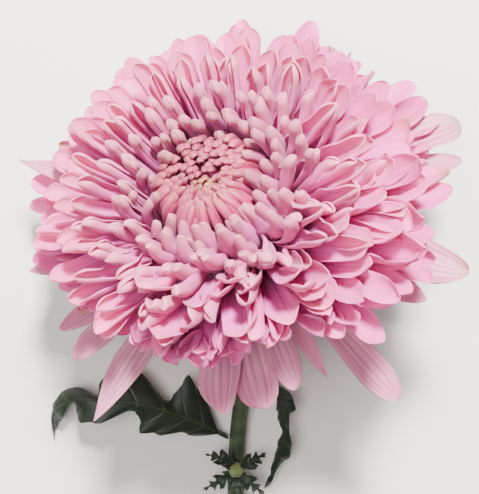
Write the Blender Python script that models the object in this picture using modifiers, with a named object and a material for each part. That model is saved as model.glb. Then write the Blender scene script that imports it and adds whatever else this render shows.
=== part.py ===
"""
Deco chrysanthemum: one bloom on its cut stem, with its leaves, laid on a flat surface.

The bloom leans back on the tips of its lower petals and faces up and away from its stem.
The stem leaves the back of the bloom, bends over in a short neck and lies down along -Y to
its cut end. Heights in the bloom are measured along its axis, from the seat of the petals.
"""
import math

import bmesh
import bpy
import numpy as np
from mathutils import Matrix, Vector

# Driving dimensions, in metres
MM = 0.001
CLEARANCE = 0.3 * MM                    # gap between pieces that touch
BLOOM_SEAT = (0.5 * MM, 52.7 * MM, 37.0 * MM)   # seat of the petals in the model's frame
BLOOM_LEAN = math.radians(41.0)         # from vertical
BLOOM_FACING = math.radians(119.8)      # the way it leans, from +X
HEART_RADIUS = 19.0 * MM
SEAT_RADIUS = 11.0 * MM
STEM_RADIUS = 3.0 * MM
GOLDEN_ANGLE = math.pi * (3.0 - math.sqrt(5.0))

# Open petals
PETAL_COUNT = 132
PETAL_WIDTH = (8.4 * MM, 13.0 * MM)     # round its arc: beside the heart, at the rim
PETAL_THICKNESS = 1.15 * MM
PETAL_STEPS = 80                        # steps in the reckoning of a petal's path
BODY_STATIONS = (0.0, 0.52, 1.0)        # shares of its free length, from its core to where its end begins
END_STATIONS = (0.62, 1.0)              # shares of its end
PRESSED_HEIGHT = 4.0 * MM               # petals turn flat over this height above where they lie
BARE_AZIMUTH = 252.0                    # side on which the outer petals are short, degrees
BARE_TIP = (50.5 * MM, 14.0 * MM)       # radius and height that their tips are drawn to
FULL_AZIMUTH = 135.0                    # side on which the bloom is fullest, degrees

# Stem: points after its neck, in mm from the seat of the petals
CALYX_DEPTH = 13.0 * MM
STEM_ROUTE = (
    (8.4, -24.0, -22.3),
    (6.6, -38.0, -27.8),
    (3.6, -54.0, -31.2),
    (0.6, -72.0, -33.0),
    (-0.8, -92.0, -33.6),
    (-0.8, -112.0, -33.75),
    (0.0, -140.0, -33.75),
    (2.0, -172.0, -33.75),
)
STEM_POINTS = 36
STEM_KNOT = 32                          # point of its route at which a leaf stood
STEM_KNOT_GIRTH = 1.08

# Leaves: midrib points in mm from the seat of the petals, the way the face looks, then for each side
# its width in mm, its taper and the phase of its lobes, and the sag of the edges in mm
LEAVES = {
    "leaf_left": (
        ((-3.35, -81.0, -32.0), (-12.0, -75.5, -29.0), (-21.0, -70.5, -26.5), (-34.0, -66.0, -24.0),
         (-47.0, -64.0, -23.0), (-58.0, -64.5, -25.0), (-66.0, -71.0, -30.0), (-66.0, -82.0, -35.3)),
        (0.0, 0.25, 1.0), (14.0, 0.3, -0.42), (25.0, 1.0, -0.02), 2.0,
    ),
    "leaf_right": (
        ((4.85, -64.0, -30.6), (9.5, -61.5, -28.0), (14.0, -63.0, -26.5), (16.3, -71.0, -26.0),
         (15.8, -82.0, -28.0), (12.5, -93.0, -31.5), (9.5, -100.0, -35.3)),
        (-0.6, 0.1, 0.8), (5.0, 0.1, 0.30), (6.5, 0.1, 0.05), 1.2,
    ),
}
LEAF_ROWS = 38
LEAF_STALK = 0.06                       # share of a leaf that is bare stalk
LEAF_LOBES = 3.4
LEAF_TEETH = 11.0
LEAF_CUT = 0.72
LEAF_WAVE = 1.2 * MM
LEAF_THICKNESS = 0.9 * MM
LEAF_FLOOR = 0.15 * MM

# Tuft of small leaves on the stem: centre and radius of its knob in mm, and for each leaf where it
# bends and where it ends
TUFT_KNOB = ((-0.8, -91.0, -27.5), 2.8)
TUFT_LEAVES = (
    ((-5.5, -86.0, -24.5), (-11.0, -84.5, -25.5)),
    ((-6.5, -94.0, -24.5), (-12.0, -98.0, -27.0)),
    ((4.5, -87.0, -24.5), (9.5, -84.5, -26.0)),
    ((5.0, -95.5, -25.0), (9.5, -100.5, -28.0)),
    ((-0.5, -97.0, -23.0), (0.5, -105.0, -23.5)),
)
TUFT_WIDTH = 3.8
TUFT_ROWS = 12

# Tips of the open petals: share of the petals counted from the heart, radius, height
TIP_PROFILE = (
    (0.000, 19.0 * MM, 35.0 * MM),
    (0.075, 22.5 * MM, 38.0 * MM),
    (0.190, 30.5 * MM, 40.0 * MM),
    (0.350, 42.0 * MM, 37.5 * MM),
    (0.560, 55.0 * MM, 28.0 * MM),
    (0.775, 64.0 * MM, 14.0 * MM),
    (1.000, 70.0 * MM, -3.0 * MM),
)

# Long petals that hang free under the rim: azimuth, polar angle, length, width, point
HANGING_PETALS = (
    (228, 100, 66, 13.5, 0.9),
    (260, 112, 50, 14.0, 0.0),
    (271, 116, 49, 14.0, 0.0),
    (310, 121, 66, 11.0, 0.3),
    (296, 119, 47, 6.0, 1.0),
    (286, 115, 46, 10.5, 0.3),
    (214, 96, 53, 10.5, 0.4),
    (203, 100, 49, 9.0, 0.6),
    (187, 88, 60, 9.0, 0.7),
    (161, 72, 66, 7.0, 1.0),
    (21, 96, 68, 13.5, 0.1),
    (13, 100, 64, 10.5, 0.5),
    (346, 110, 65, 15.0, 0.4),
    (336, 114, 55, 10.0, 0.4),
)

# Petals pressed on the surface, on which the bloom rests, in the same terms
RESTING_PETALS = (
    (54, 122, 58, 10.5, 0.3),
    (88, 108, 56, 10.5, 0.3),
    (122, 106, 58, 10.0, 0.3),
    (156, 114, 60, 10.5, 0.3),
    (178, 124, 56, 10.0, 0.4),
)

# Heart florets
FLORET_COUNT = 34
FLORET_WIDTH = (5.2 * MM, 10.4 * MM)
FLORET_THICKNESS = 1.3 * MM
FLORET_SPREAD = 16.0 * MM               # greatest radius of their bodies
EYE_HEIGHT = 30.5 * MM
NEAR_AZIMUTH = math.radians(285.0)      # side on which they arch farthest over
FLORET_STATIONS = (0.0, 0.45, 1.0)
ROOT_STEPS = 2                          # steps that a blade reaches down into its core

# Bracts of the calyx, by row: how many, how far the row is turned, radius and height of the roots,
# first and last polar angle, length and width, in degrees and mm
BRACTS = (
    (6, 7, 3.8, -11.4, 74, 44, 8.5, 7.5),
    (8, 4, 8.4, -7.0, 58, 16, 7.0, 8.5),
)
BRACT_THICKNESS = 0.9 * MM
BRACT_STATIONS = (0.0, 1.0)

# Cores under the petals: radius and height, from the top centre to the bottom centre
BLOOM_CORE = (
    (0.0, 10.0 * MM),
    (20.0 * MM, 10.0 * MM),
    (21.5 * MM, 18.0 * MM),
    (28.0 * MM, 20.0 * MM),
    (34.0 * MM, 15.0 * MM),
    (37.0 * MM, 7.0 * MM),
    (33.0 * MM, 1.0 * MM),
    (13.0 * MM, 1.2 * MM),
    (0.0, 1.2 * MM),
)
HEART_CORE = (
    (0.0, 29.6 * MM),
    (6.0 * MM, 29.2 * MM),
    (12.0 * MM, 25.5 * MM),
    (16.0 * MM, 18.0 * MM),
    (16.0 * MM, 10.0 * MM + CLEARANCE),
    (0.0, 10.0 * MM + CLEARANCE),
)
CALYX_CUP = (
    (0.0, 1.2 * MM - CLEARANCE),
    (11.2 * MM, 1.2 * MM - CLEARANCE),
    (11.6 * MM, -1.5 * MM),
    (9.5 * MM, -6.5 * MM),
    (5.5 * MM, -11.0 * MM),
    (STEM_RADIUS, -CALYX_DEPTH),
    (0.0, -CALYX_DEPTH),
)
PARTING_STEP = 0.06 * MM                # between blades that the heart's room moves aside
# Room of the heart: height and the radius that parts it from the open petals
HEART_ROOM = (
    (10.0 * MM, 19.4 * MM),
    (24.0 * MM, 19.4 * MM),
    (30.0 * MM, 17.6 * MM),
    (34.0 * MM, 13.5 * MM),
    (36.0 * MM, 0.0),
)


def unit(vectors):
    """Vectors scaled to length one."""
    return vectors / np.linalg.norm(vectors, axis=-1, keepdims=True)


def smooth(x):
    """Smooth step from 0 to 1."""
    x = np.clip(x, 0.0, 1.0)
    return x * x * (3.0 - 2.0 * x)


def bloom_axes():
    """Right, up and outward axes of the bloom, as seen from in front of it."""
    outward = np.array([
        math.sin(BLOOM_LEAN) * math.cos(BLOOM_FACING),
        math.sin(BLOOM_LEAN) * math.sin(BLOOM_FACING),
        math.cos(BLOOM_LEAN),
    ])
    right = unit(np.array([1.0, 0.0, 0.0]) - outward[0] * outward)
    return right, np.cross(outward, right), outward


def smooth_curve(points, count):
    """Points at even parameters along a smooth curve through the given points."""
    p = np.array(points, float)
    p = np.vstack([2.0 * p[0] - p[1], p, 2.0 * p[-1] - p[-2]])
    t = np.linspace(0.0, len(points) - 1.0, count)
    k = np.minimum(t.astype(int), len(points) - 2)
    u = (t - k)[:, None]
    a, b, c, d = p[k], p[k + 1], p[k + 2], p[k + 3]
    return 0.5 * (2.0 * b + (c - a) * u + (2.0 * a - 5.0 * b + 4.0 * c - d) * u ** 2
                  + (3.0 * b - a - 3.0 * c + d) * u ** 3)


# Shapes of petals and florets

def open_petals(count):
    """Each open petal's place and form, from the heart outwards, then the hanging and resting ones.

    start and end are its angle from the bloom's axis at its root and before its end: the slope of
    the chord from root to tip, less and plus a bow. hook is how far its end bends back in.
    """
    rng = np.random.default_rng(11)
    q = (np.arange(count) + 0.5) / count
    draw = rng.normal(size=(count, 8)).clip(-2.0, 2.0)
    azimuth = np.arange(count) * GOLDEN_ANGLE + np.radians(4.0) * draw[:, 3]
    below = 0.5 - 0.5 * np.cos(azimuth - math.radians(BARE_AZIMUTH + 180.0))
    bare = smooth((below - 0.64) / 0.28) * smooth((q - 0.45) / 0.15)
    share, radius, height = np.array(TIP_PROFILE).T
    fuller = 1.0 + 0.045 * q * np.cos(azimuth - math.radians(FULL_AZIMUTH))
    tip_r = np.interp(q, share, radius) * (fuller + 0.03 * draw[:, 0])
    tip_h = np.interp(q, share, height) + 1.5 * MM * draw[:, 1]
    tip_r = tip_r + 0.85 * bare * (BARE_TIP[0] - tip_r)
    tip_h = tip_h + 0.85 * bare * (BARE_TIP[1] - tip_h)
    root_r = HEART_RADIUS + 2.5 * MM + (SEAT_RADIUS - HEART_RADIUS - 2.5 * MM) * q
    root_h = (9.0 - 6.5 * q) * MM
    chord = np.hypot(tip_r - root_r, tip_h - root_h)
    slope = np.arctan2(tip_r - root_r, tip_h - root_h)
    bow = np.radians(-6.0 + 26.0 * smooth(q / 0.5) + 5.0 * draw[:, 2])
    petals = {
        "azimuth": azimuth,
        "root_r": root_r,
        "root_h": root_h,
        "start": slope - bow,
        "end": slope + bow,
        "length": chord * (1.0 + bow ** 2 / 6.0),
        "width": (PETAL_WIDTH[0] + (PETAL_WIDTH[1] - PETAL_WIDTH[0]) * q) * (1.0 + 0.08 * draw[:, 4]),
        "hook": np.radians(75.0 - 35.0 * smooth(q / 0.5) + 10.0 * draw[:, 5]),
        "curl": 1.90 - 1.05 * smooth(q / 0.8) + 0.16 * draw[:, 6],
        "sway": np.radians(7.0) * draw[:, 7],
        "twist": np.radians(10.0 + 10.0 * q) * draw[:, 1],
        "point": 0.02 + 0.10 * q,
    }
    kept = (bare < 0.5) | (np.arange(count) % 3 != 0)
    petals = {key: value[kept] for key, value in petals.items()}
    loose = HANGING_PETALS + RESTING_PETALS
    azimuth, polar, length, width, point = np.array(loose).T
    m = len(loose)
    hanging = {
        "azimuth": np.radians(azimuth),
        "root_r": np.full(m, SEAT_RADIUS),
        "root_h": np.full(m, 2.5 * MM),
        "start": np.radians(polar - 14.0),
        "end": np.radians(polar + 14.0),
        "length": length * MM,
        "width": width * MM,
        "hook": np.radians(np.full(m, 12.0)),
        "curl": np.full(m, 0.42),
        "sway": np.radians(4.0) * np.cos(7.0 * azimuth),
        "twist": np.radians(14.0) * np.cos(5.0 * azimuth),
        "point": point,
    }
    return {key: np.concatenate([petals[key], hanging[key]]) for key in petals}


def heart_florets(count):
    """Each incurved floret of the heart, from the eye outwards.

    Its body stands at a radius that grows with the square root of its number, so that the florets
    are evenly spread, and its tip reaches inwards from there, farther on the near side.
    """
    rng = np.random.default_rng(5)
    q = (np.arange(count) + 0.5) / count
    draw = rng.normal(size=(count, 5)).clip(-2.0, 2.0)
    azimuth = np.arange(count) * GOLDEN_ANGLE + np.radians(4.0) * draw[:, 0]
    near = 0.5 + 0.5 * np.cos(azimuth - NEAR_AZIMUTH)
    body_r = FLORET_SPREAD * np.sqrt(q)
    tip_r = body_r * (0.86 - (0.44 + 0.10 * draw[:, 2]) * smooth(near)) + 0.4 * MM * draw[:, 3]
    tip_h = EYE_HEIGHT + 2.8 * MM * smooth(tip_r / (9.0 * MM)) + 0.4 * MM * draw[:, 4]
    root_r = 0.8 * body_r + 1.0 * MM
    root_h = (20.0 - 8.0 * q) * MM
    chord = np.hypot(tip_r - root_r, tip_h - root_h)
    slope = np.arctan2(tip_r - root_r, tip_h - root_h)
    bow = np.radians(32.0 + 18.0 * near * np.sqrt(q) + 3.0 * draw[:, 1])
    least, most = FLORET_WIDTH
    return {
        "azimuth": azimuth,
        "root_r": root_r,
        "root_h": root_h,
        "start": slope + bow,
        "end": slope - bow,
        "length": chord * (1.0 + bow ** 2 / 6.0),
        "width": (least + (most - least) * q ** 0.6) * (1.0 + 0.06 * draw[:, 2]),
        "hook": np.radians(np.full(count, 40.0)),
        "curl": np.full(count, 1.3),
        "sway": np.radians(6.0) * draw[:, 4],
        "twist": np.radians(8.0) * draw[:, 1],
        "point": 0.05 + 0.25 * near,
    }


def bract_blades_form():
    """Each bract of the calyx, row by row from the stem up."""
    rows = [[k, *row] for row in BRACTS for k in range(row[0])]
    place, count, turned, root_r, root_h, first, last, length, width = np.array(rows, float).T
    n = len(rows)
    return {
        "azimuth": 2.0 * math.pi * place / count + np.radians(turned),
        "root_r": root_r * MM,
        "root_h": root_h * MM,
        "start": np.radians(first),
        "end": np.radians(last),
        "length": length * MM,
        "width": width * MM,
        "hook": np.zeros(n),
        "curl": np.full(n, 0.55),
        "sway": np.radians(6.0) * np.cos(5.0 * place),
        "twist": np.zeros(n),
        "point": np.full(n, 0.5),
    }


def blade_end(form):
    """Share of each blade that its end takes: a little over half its width, more where it is pointed."""
    return (0.58 + 1.7 * form["point"]) * form["width"] / form["length"]


def blade_paths(form, floor):
    """Paths of all blades with their frames: points, inner normals and sides."""
    right, up, outward = bloom_axes()
    n = len(form["azimuth"])
    s = np.linspace(0.0, 1.0, PETAL_STEPS + 1)[None, :]
    polar = form["start"][:, None] + (form["end"] - form["start"])[:, None] * s
    onset = 1.0 - 1.7 * blade_end(form)[:, None]
    polar = polar - form["hook"][:, None] * smooth((s - onset) / (1.0 - onset))
    azimuth = form["azimuth"][:, None] + form["sway"][:, None] * s
    radial = np.cos(azimuth)[..., None] * right + np.sin(azimuth)[..., None] * up
    heading = np.sin(polar)[..., None] * radial + np.cos(polar)[..., None] * outward
    normal = np.sin(polar)[..., None] * outward - np.cos(polar)[..., None] * radial
    step = form["length"] / PETAL_STEPS
    root = radial[:, 0] * form["root_r"][:, None] + outward * form["root_h"][:, None]
    points = np.empty((n, PETAL_STEPS + 1, 3))
    points[:, 0] = root + np.array(BLOOM_SEAT)
    for k in range(PETAL_STEPS):
        here = points[:, k]
        ahead = heading[:, k]
        rise = np.clip((floor - here[:, 2]) / step, -1.0, 0.5)
        ahead[:, 2] = np.maximum(ahead[:, 2], rise)
        level = np.sqrt(np.maximum(1.0 - ahead[:, 2] ** 2, 0.0))
        ahead[:, :2] *= (level / np.linalg.norm(ahead[:, :2], axis=1))[:, None]
        points[:, k + 1] = here + ahead * step[:, None]
    heading[:, -1] = heading[:, -2]
    pressed = smooth(1.0 - (points[..., 2] - floor[:, None]) / PRESSED_HEIGHT)[..., None]
    flat = np.zeros_like(normal)
    flat[..., 2] = np.where(normal[..., 2] < 0.0, -1.0, 1.0)
    side = unit(np.cross(heading, normal * (1.0 - pressed) + flat * pressed))
    normal = np.cross(side, heading)
    turn = form["twist"][:, None, None] * s[..., None] * (1.0 - pressed)
    return points, np.cos(turn) * normal + np.sin(turn) * side, np.cos(turn) * side - np.sin(turn) * normal


def blade_half_width(s, width, end, point):
    """Half width at s along a blade: a claw that widens, then a round or drawn-out end."""
    claw = 0.40 + 0.60 * smooth(s / 0.82)
    x = np.clip((s - 1.0 + end) / end, 0.0, 1.0)
    return 0.5 * width * claw * ((1.0 - point) * np.sqrt(1.0 - x ** 2.6) + point * (1.0 - x ** 1.5))


def closed_sheet(upper, lower, tip):
    """Points and faces of a closed sheet whose two faces share their edges and their tip.

    upper has a row of points for each station, and lower has the same rows without the
    first and last point of each.
    """
    rows, columns = upper.shape[:2]
    front = np.arange(rows * columns).reshape(rows, columns)
    back = front.copy()
    back[:, 1:-1] = front.size + np.arange(rows * (columns - 2)).reshape(rows, columns - 2)
    apex = rows * (2 * columns - 2)
    verts = np.vstack([upper.reshape(-1, 3), lower.reshape(-1, 3), tip[None]])
    faces = []
    for grid, flip in ((front, False), (back, True)):
        near, far = grid[:-1, :-1].ravel(), grid[1:, 1:].ravel()
        right, left = grid[:-1, 1:].ravel(), grid[1:, :-1].ravel()
        fan = np.stack([grid[-1, :-1], grid[-1, 1:], np.full(columns - 1, apex)], 1)
        block = np.vstack([np.stack([near, right, far], 1), np.stack([near, far, left], 1), fan])
        faces.append(block[:, ::-1] if flip else block)
    faces.append(np.stack([front[0, :-1], back[0, :-1], back[0, 1:]], 1)[1:])
    faces.append(np.stack([front[0, :-1], back[0, 1:], front[0, 1:]], 1)[:-1])
    return verts, np.vstack(faces)


def blade_mesh(points, normal, side, half_width, curl, thickness, columns):
    """Closed petal along a path, with a row for each station; the last point is its tip.

    The inner face is an arc of half angle curl over the petal's width, and the outer face
    lies a thickness below it, which runs out at the edges.
    """
    v = np.linspace(-1.0, 1.0, columns)[None, :, None]
    b = np.maximum(curl[:-1, None, None], 0.01)
    w = half_width[:-1, None, None]
    across = side[:-1, None]
    inward = normal[:-1, None]
    upper = points[:-1, None] + across * w * np.sin(b * v) / b + inward * w * (1.0 - np.cos(b * v)) / b
    local = inward * np.cos(b * v) - across * np.sin(b * v)
    lower = upper - local * thickness * np.sqrt(1.0 - v ** 2)
    return closed_sheet(upper, lower[:, 1:-1], points[-1])


# Stem and leaves

def stem_route(count):
    """Centre line of the stem, from under the calyx to the cut end."""
    outward = bloom_axes()[2]
    head = [tuple(-outward * drop) for drop in (CALYX_DEPTH + CLEARANCE, CALYX_DEPTH + 9.0 * MM)]
    route = np.array(head + [tuple(c * MM for c in point) for point in STEM_ROUTE])
    return smooth_curve(route + np.array(BLOOM_SEAT), count)


def leaf_half_width(u, width, taper, phase):
    """Width of one side of a leaf at u along its midrib, in mm: deep lobes with small teeth."""
    blade = np.clip((u - LEAF_STALK) / (1.0 - LEAF_STALK), 0.0, 1.0)
    envelope = 0.06 + 0.94 * np.sin(math.pi * blade ** 0.65) ** 0.75
    notch = (0.5 + 0.5 * np.cos(2.0 * math.pi * (LEAF_LOBES * u + phase))) ** 2
    teeth = np.abs(((u * LEAF_TEETH + phase) % 1.0) - 0.5) - 0.25
    cut = 1.0 - LEAF_CUT * notch * np.minimum(blade * 6.0, 1.0) + 0.30 * teeth * (blade > 0.0)
    return width * (1.0 - taper * u) * envelope * cut


def leaf_mesh(route, facing, left, right, sag, rows, columns):
    """Lobed leaf along its midrib: its side veins sweep forward, and its edges wave."""
    rib = smooth_curve(np.array(route) * MM + np.array(BLOOM_SEAT), rows + 1)
    u = np.linspace(0.0, 1.0, rows + 1)
    along = unit(np.gradient(rib, axis=0))
    across = unit(np.cross(along, unit(np.array(facing, float))))
    normal = np.cross(across, along)
    v = np.linspace(-1.0, 1.0, columns)[None, :, None]
    half = np.where(v[..., 0] < 0.0, leaf_half_width(u, *left)[:, None], leaf_half_width(u, *right)[:, None])
    reach = half[..., None] * MM * v
    sweep = math.radians(38.0)
    wave = (LEAF_WAVE * np.sin(2.0 * math.pi * (LEAF_LOBES * u + left[2])))[:, None, None] * v ** 2
    upper = (rib[:, None] + across[:, None] * reach * math.cos(sweep)
             + along[:, None] * np.abs(reach) * math.sin(sweep)
             + normal[:, None] * (wave - sag * MM * v ** 2))
    body = LEAF_THICKNESS * (1.0 + 1.2 * np.clip(1.0 - u / 0.15, 0.0, 1.0))[:, None, None]
    lower = upper - normal[:, None] * body * np.sqrt(1.0 - v ** 2)
    low = np.minimum(upper[..., 2].min(1), lower[..., 2].min(1))
    raised = np.maximum(LEAF_FLOOR - low, 0.0)
    upper[..., 2] += raised[:, None]
    lower[..., 2] += raised[:, None]
    tip = upper[-1, columns // 2] + along[-1] * MM
    return closed_sheet(upper[:-1], lower[:-1, 1:-1], tip)


# Scene objects

def make_material(name, colour, roughness):
    """Plain material of one sRGB colour."""
    mat = bpy.data.materials.new(name)
    mat.use_nodes = True
    linear = [((c + 0.055) / 1.055) ** 2.4 for c in colour]
    shader = mat.node_tree.nodes["Principled BSDF"]
    shader.inputs["Base Color"].default_value = (*linear, 1.0)
    shader.inputs["Roughness"].default_value = roughness
    mat.diffuse_color = (*linear, 1.0)
    return mat


def add_object(name, verts, faces, collection, material=None):
    """Object from points and faces, with its faces turned outwards."""
    mesh = bpy.data.meshes.new(name)
    mesh.from_pydata([tuple(v) for v in verts], [], [tuple(int(i) for i in f) for f in faces])
    bm = bmesh.new()
    bm.from_mesh(mesh)
    bmesh.ops.recalc_face_normals(bm, faces=bm.faces)
    bm.to_mesh(mesh)
    bm.free()
    obj = bpy.data.objects.new(name, mesh)
    collection.objects.link(obj)
    if material:
        mesh.materials.append(material)
    return obj


def turned_solid(name, profile, collection, sides, material):
    """Solid of revolution about the bloom's axis, from its top centre down to its bottom centre."""
    right, up, outward = bloom_axes()
    mesh = bpy.data.meshes.new(name)
    edges = [(k, k + 1) for k in range(len(profile) - 1)]
    mesh.from_pydata([(r, 0.0, h) for r, h in profile], edges, [])
    obj = bpy.data.objects.new(name, mesh)
    collection.objects.link(obj)
    screw = obj.modifiers.new("turn", "SCREW")
    screw.steps = sides
    screw.render_steps = sides
    screw.use_merge_vertices = True
    screw.merge_threshold = 0.01 * MM
    obj.matrix_world = Matrix((
        (right[0], up[0], outward[0], BLOOM_SEAT[0]),
        (right[1], up[1], outward[1], BLOOM_SEAT[1]),
        (right[2], up[2], outward[2], BLOOM_SEAT[2]),
        (0.0, 0.0, 0.0, 1.0),
    ))
    made = bake(obj, collection, material)
    bm = bmesh.new()
    bm.from_mesh(made.data)
    bmesh.ops.triangulate(bm, faces=bm.faces)
    bmesh.ops.recalc_face_normals(bm, faces=bm.faces)
    bm.to_mesh(made.data)
    bm.free()
    return made


def bake(obj, collection, material):
    """Replaces an object by the mesh that its modifiers give, in the model's frame."""
    name = obj.name
    graph = bpy.context.evaluated_depsgraph_get()
    mesh = bpy.data.meshes.new_from_object(obj.evaluated_get(graph))
    mesh.transform(obj.matrix_world)
    bpy.data.objects.remove(obj, do_unlink=True)
    made = bpy.data.objects.new(name, mesh)
    collection.objects.link(made)
    mesh.name = name
    if material:
        mesh.materials.clear()
        mesh.materials.append(material)
    return made


def keep_main_body(obj):
    """Drops loose scraps and the walls of hollows that fusing sealed."""
    bm = bmesh.new()
    bm.from_mesh(obj.data)
    left = set(bm.verts)
    bodies = []
    while left:
        body = {left.pop()}
        front = list(body)
        while front:
            vert = front.pop()
            for edge in vert.link_edges:
                other = edge.other_vert(vert)
                if other not in body:
                    body.add(other)
                    front.append(other)
        left -= body
        bodies.append(body)
    bodies.sort(key=len)
    scraps = [vert for body in bodies[:-1] for vert in body]
    bmesh.ops.delete(bm, geom=scraps, context="VERTS")
    bm.to_mesh(obj.data)
    bm.free()


def fuse(core, blades, collection, material):
    """Joins a core and its blades into one closed body."""
    parts = bpy.data.collections.new(core.name + "_blades")
    bpy.context.scene.collection.children.link(parts)
    for k, (verts, faces) in enumerate(blades):
        add_object(f"{core.name}_blade_{k}", verts, faces, parts)
    union = core.modifiers.new("fuse", "BOOLEAN")
    union.operation = "UNION"
    union.solver = "MANIFOLD"
    union.operand_type = "COLLECTION"
    union.collection = parts
    made = bake(core, collection, material)
    for obj in list(parts.objects):
        bpy.data.objects.remove(obj, do_unlink=True)
    bpy.data.collections.remove(parts)
    keep_main_body(made)
    return made


def inside_turned(points, profile):
    """Whether points lie inside a solid of revolution about the bloom's axis."""
    outward = bloom_axes()[2]
    local = points - np.array(BLOOM_SEAT)
    h = local @ outward
    r = np.linalg.norm(local - h[..., None] * outward, axis=-1)
    inside = np.zeros(r.shape, bool)
    for (r0, h0), (r1, h1) in zip(profile, profile[1:]):
        spans = (h0 > h) != (h1 > h)
        inside ^= spans & (r < r0 + (h - h0) * (r1 - r0) / (h1 - h0 + 1e-12))
    return inside


def parted(verts, inside, step):
    """Points moved straight away from or towards the bloom's axis, into or out of the heart's room.

    step differs from one blade to the next, so that no two of them end up in the same surface.
    """
    outward = bloom_axes()[2]
    local = verts - np.array(BLOOM_SEAT)
    h = local @ outward
    off_axis = local - h[:, None] * outward
    r = np.linalg.norm(off_axis, axis=1)
    height, radius = np.array(HEART_ROOM).T
    room = np.interp(h, height, radius, left=0.0)
    if inside:
        wanted = np.where(h > height[0], np.minimum(r, np.maximum(room - 2.0 * CLEARANCE - step, 0.0)), r)
    else:
        wanted = np.where(room > 0.0, np.maximum(r, room + step), r)
    return verts + off_axis * ((wanted - r) / np.maximum(r, 0.01 * MM))[:, None]


def petal_blades(form, floor, body, thickness, core, in_heart):
    """Meshes of the petals or florets of one form table, each rooted inside its core."""
    points, normal, side = blade_paths(form, floor)
    held = inside_turned(points, core)
    ends = blade_end(form)
    blades = []
    for k, end in enumerate(ends):
        first = max(np.flatnonzero(held[k])[-1] - ROOT_STEPS, 0) / PETAL_STEPS
        in_body = first + (1.0 - end - first) * np.array(body)
        in_end = 1.0 - end * (1.0 - np.array(END_STATIONS))
        s = np.concatenate([in_body, in_end])
        rows = np.round(s * PETAL_STEPS).astype(int)
        half = blade_half_width(s, form["width"][k], end, form["point"][k])
        curl = form["curl"][k] + 0.35 * smooth((s - 0.70) / 0.30)
        verts, faces = blade_mesh(points[k, rows], normal[k, rows], side[k, rows], half, curl, thickness, 3)
        blades.append((parted(verts, in_heart, PARTING_STEP * (k % 7)), faces))
    return blades


def floor_of(form):
    """Height at which each petal lies down: most stay a little above the surface."""
    count = len(form["azimuth"])
    raised = 1.0 * MM + 8.0 * MM * ((np.arange(count) * 0.618034) % 1.0) ** 2.0
    raised[count - len(RESTING_PETALS):] = 0.0
    return PETAL_THICKNESS + raised


def make_bloom(collection):
    """Open petals on a core, which holds their roots."""
    pink = make_material("petal_pink", (0.86, 0.62, 0.72), 0.55)
    core = turned_solid("bloom", BLOOM_CORE, collection, 28, None)
    form = open_petals(PETAL_COUNT)
    blades = petal_blades(form, floor_of(form), BODY_STATIONS, PETAL_THICKNESS, BLOOM_CORE, False)
    return fuse(core, blades, collection, pink)


def make_heart(collection):
    """Incurved florets of the heart, on a low dome."""
    dusky = make_material("heart_dusky", (0.80, 0.58, 0.58), 0.6)
    core = turned_solid("heart", HEART_CORE, collection, 20, None)
    floor = np.full(FLORET_COUNT, -1.0)
    form = heart_florets(FLORET_COUNT)
    blades = petal_blades(form, floor, FLORET_STATIONS, FLORET_THICKNESS, HEART_CORE, True)
    return fuse(core, blades, collection, dusky)


def make_calyx(collection):
    """Receptacle under the petals, with two rows of bracts."""
    green = make_material("bract_green", (0.33, 0.40, 0.20), 0.6)
    cup = turned_solid("calyx", CALYX_CUP, collection, 20, None)
    form = bract_blades_form()
    floor = np.full(len(form["azimuth"]), -1.0)
    blades = petal_blades(form, floor, BRACT_STATIONS, BRACT_THICKNESS, CALYX_CUP, False)
    return fuse(cup, blades, collection, green)


def make_stem(collection):
    """Round stalk with a knot where a leaf stood, cut off square."""
    green = make_material("stem_green", (0.36, 0.42, 0.23), 0.6)
    curve = bpy.data.curves.new("stem", "CURVE")
    curve.dimensions = "3D"
    curve.bevel_depth = STEM_RADIUS
    curve.bevel_resolution = 4
    curve.use_fill_caps = True
    spline = curve.splines.new("POLY")
    route = stem_route(STEM_POINTS)
    spline.points.add(len(route) - 1)
    for k, (point, place) in enumerate(zip(spline.points, route)):
        point.co = (*place, 1.0)
        point.radius = STEM_KNOT_GIRTH if k == STEM_KNOT else 1.0
    obj = bpy.data.objects.new("stem", curve)
    collection.objects.link(obj)
    made = bake(obj, collection, green)
    bm = bmesh.new()
    bm.from_mesh(made.data)
    bmesh.ops.remove_doubles(bm, verts=bm.verts, dist=0.01 * MM)
    bmesh.ops.triangulate(bm, faces=bm.faces)
    bm.to_mesh(made.data)
    bm.free()
    made.data.shade_smooth()
    return made


def make_leaves(collection):
    """The two long leaves, each a single blade."""
    green = make_material("leaf_green", (0.20, 0.30, 0.12), 0.5)
    for name, (route, facing, left, right, sag) in LEAVES.items():
        verts, faces = leaf_mesh(route, facing, left, right, sag, LEAF_ROWS, 5)
        add_object(name, verts, faces, collection, green)


def make_tuft(collection):
    """Tuft of small toothed leaves on a knob, on top of the stem."""
    green = make_material("tuft_green", (0.22, 0.30, 0.14), 0.55)
    centre, radius = TUFT_KNOB
    mesh = bpy.data.meshes.new("leaf_tuft")
    bm = bmesh.new()
    bmesh.ops.create_icosphere(bm, subdivisions=2, radius=radius * MM)
    bmesh.ops.translate(bm, verts=bm.verts, vec=Vector(centre) * MM + Vector(BLOOM_SEAT))
    bm.to_mesh(mesh)
    bm.free()
    knob = bpy.data.objects.new("leaf_tuft", mesh)
    collection.objects.link(knob)
    blades = []
    for k, (bend, end) in enumerate(TUFT_LEAVES):
        side = (TUFT_WIDTH, 0.1, 0.15 * k)
        blades.append(leaf_mesh((centre, bend, end), (0.0, 0.2, 1.0), side, side, 0.6, TUFT_ROWS, 3))
    return fuse(knob, blades, collection, green)


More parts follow.
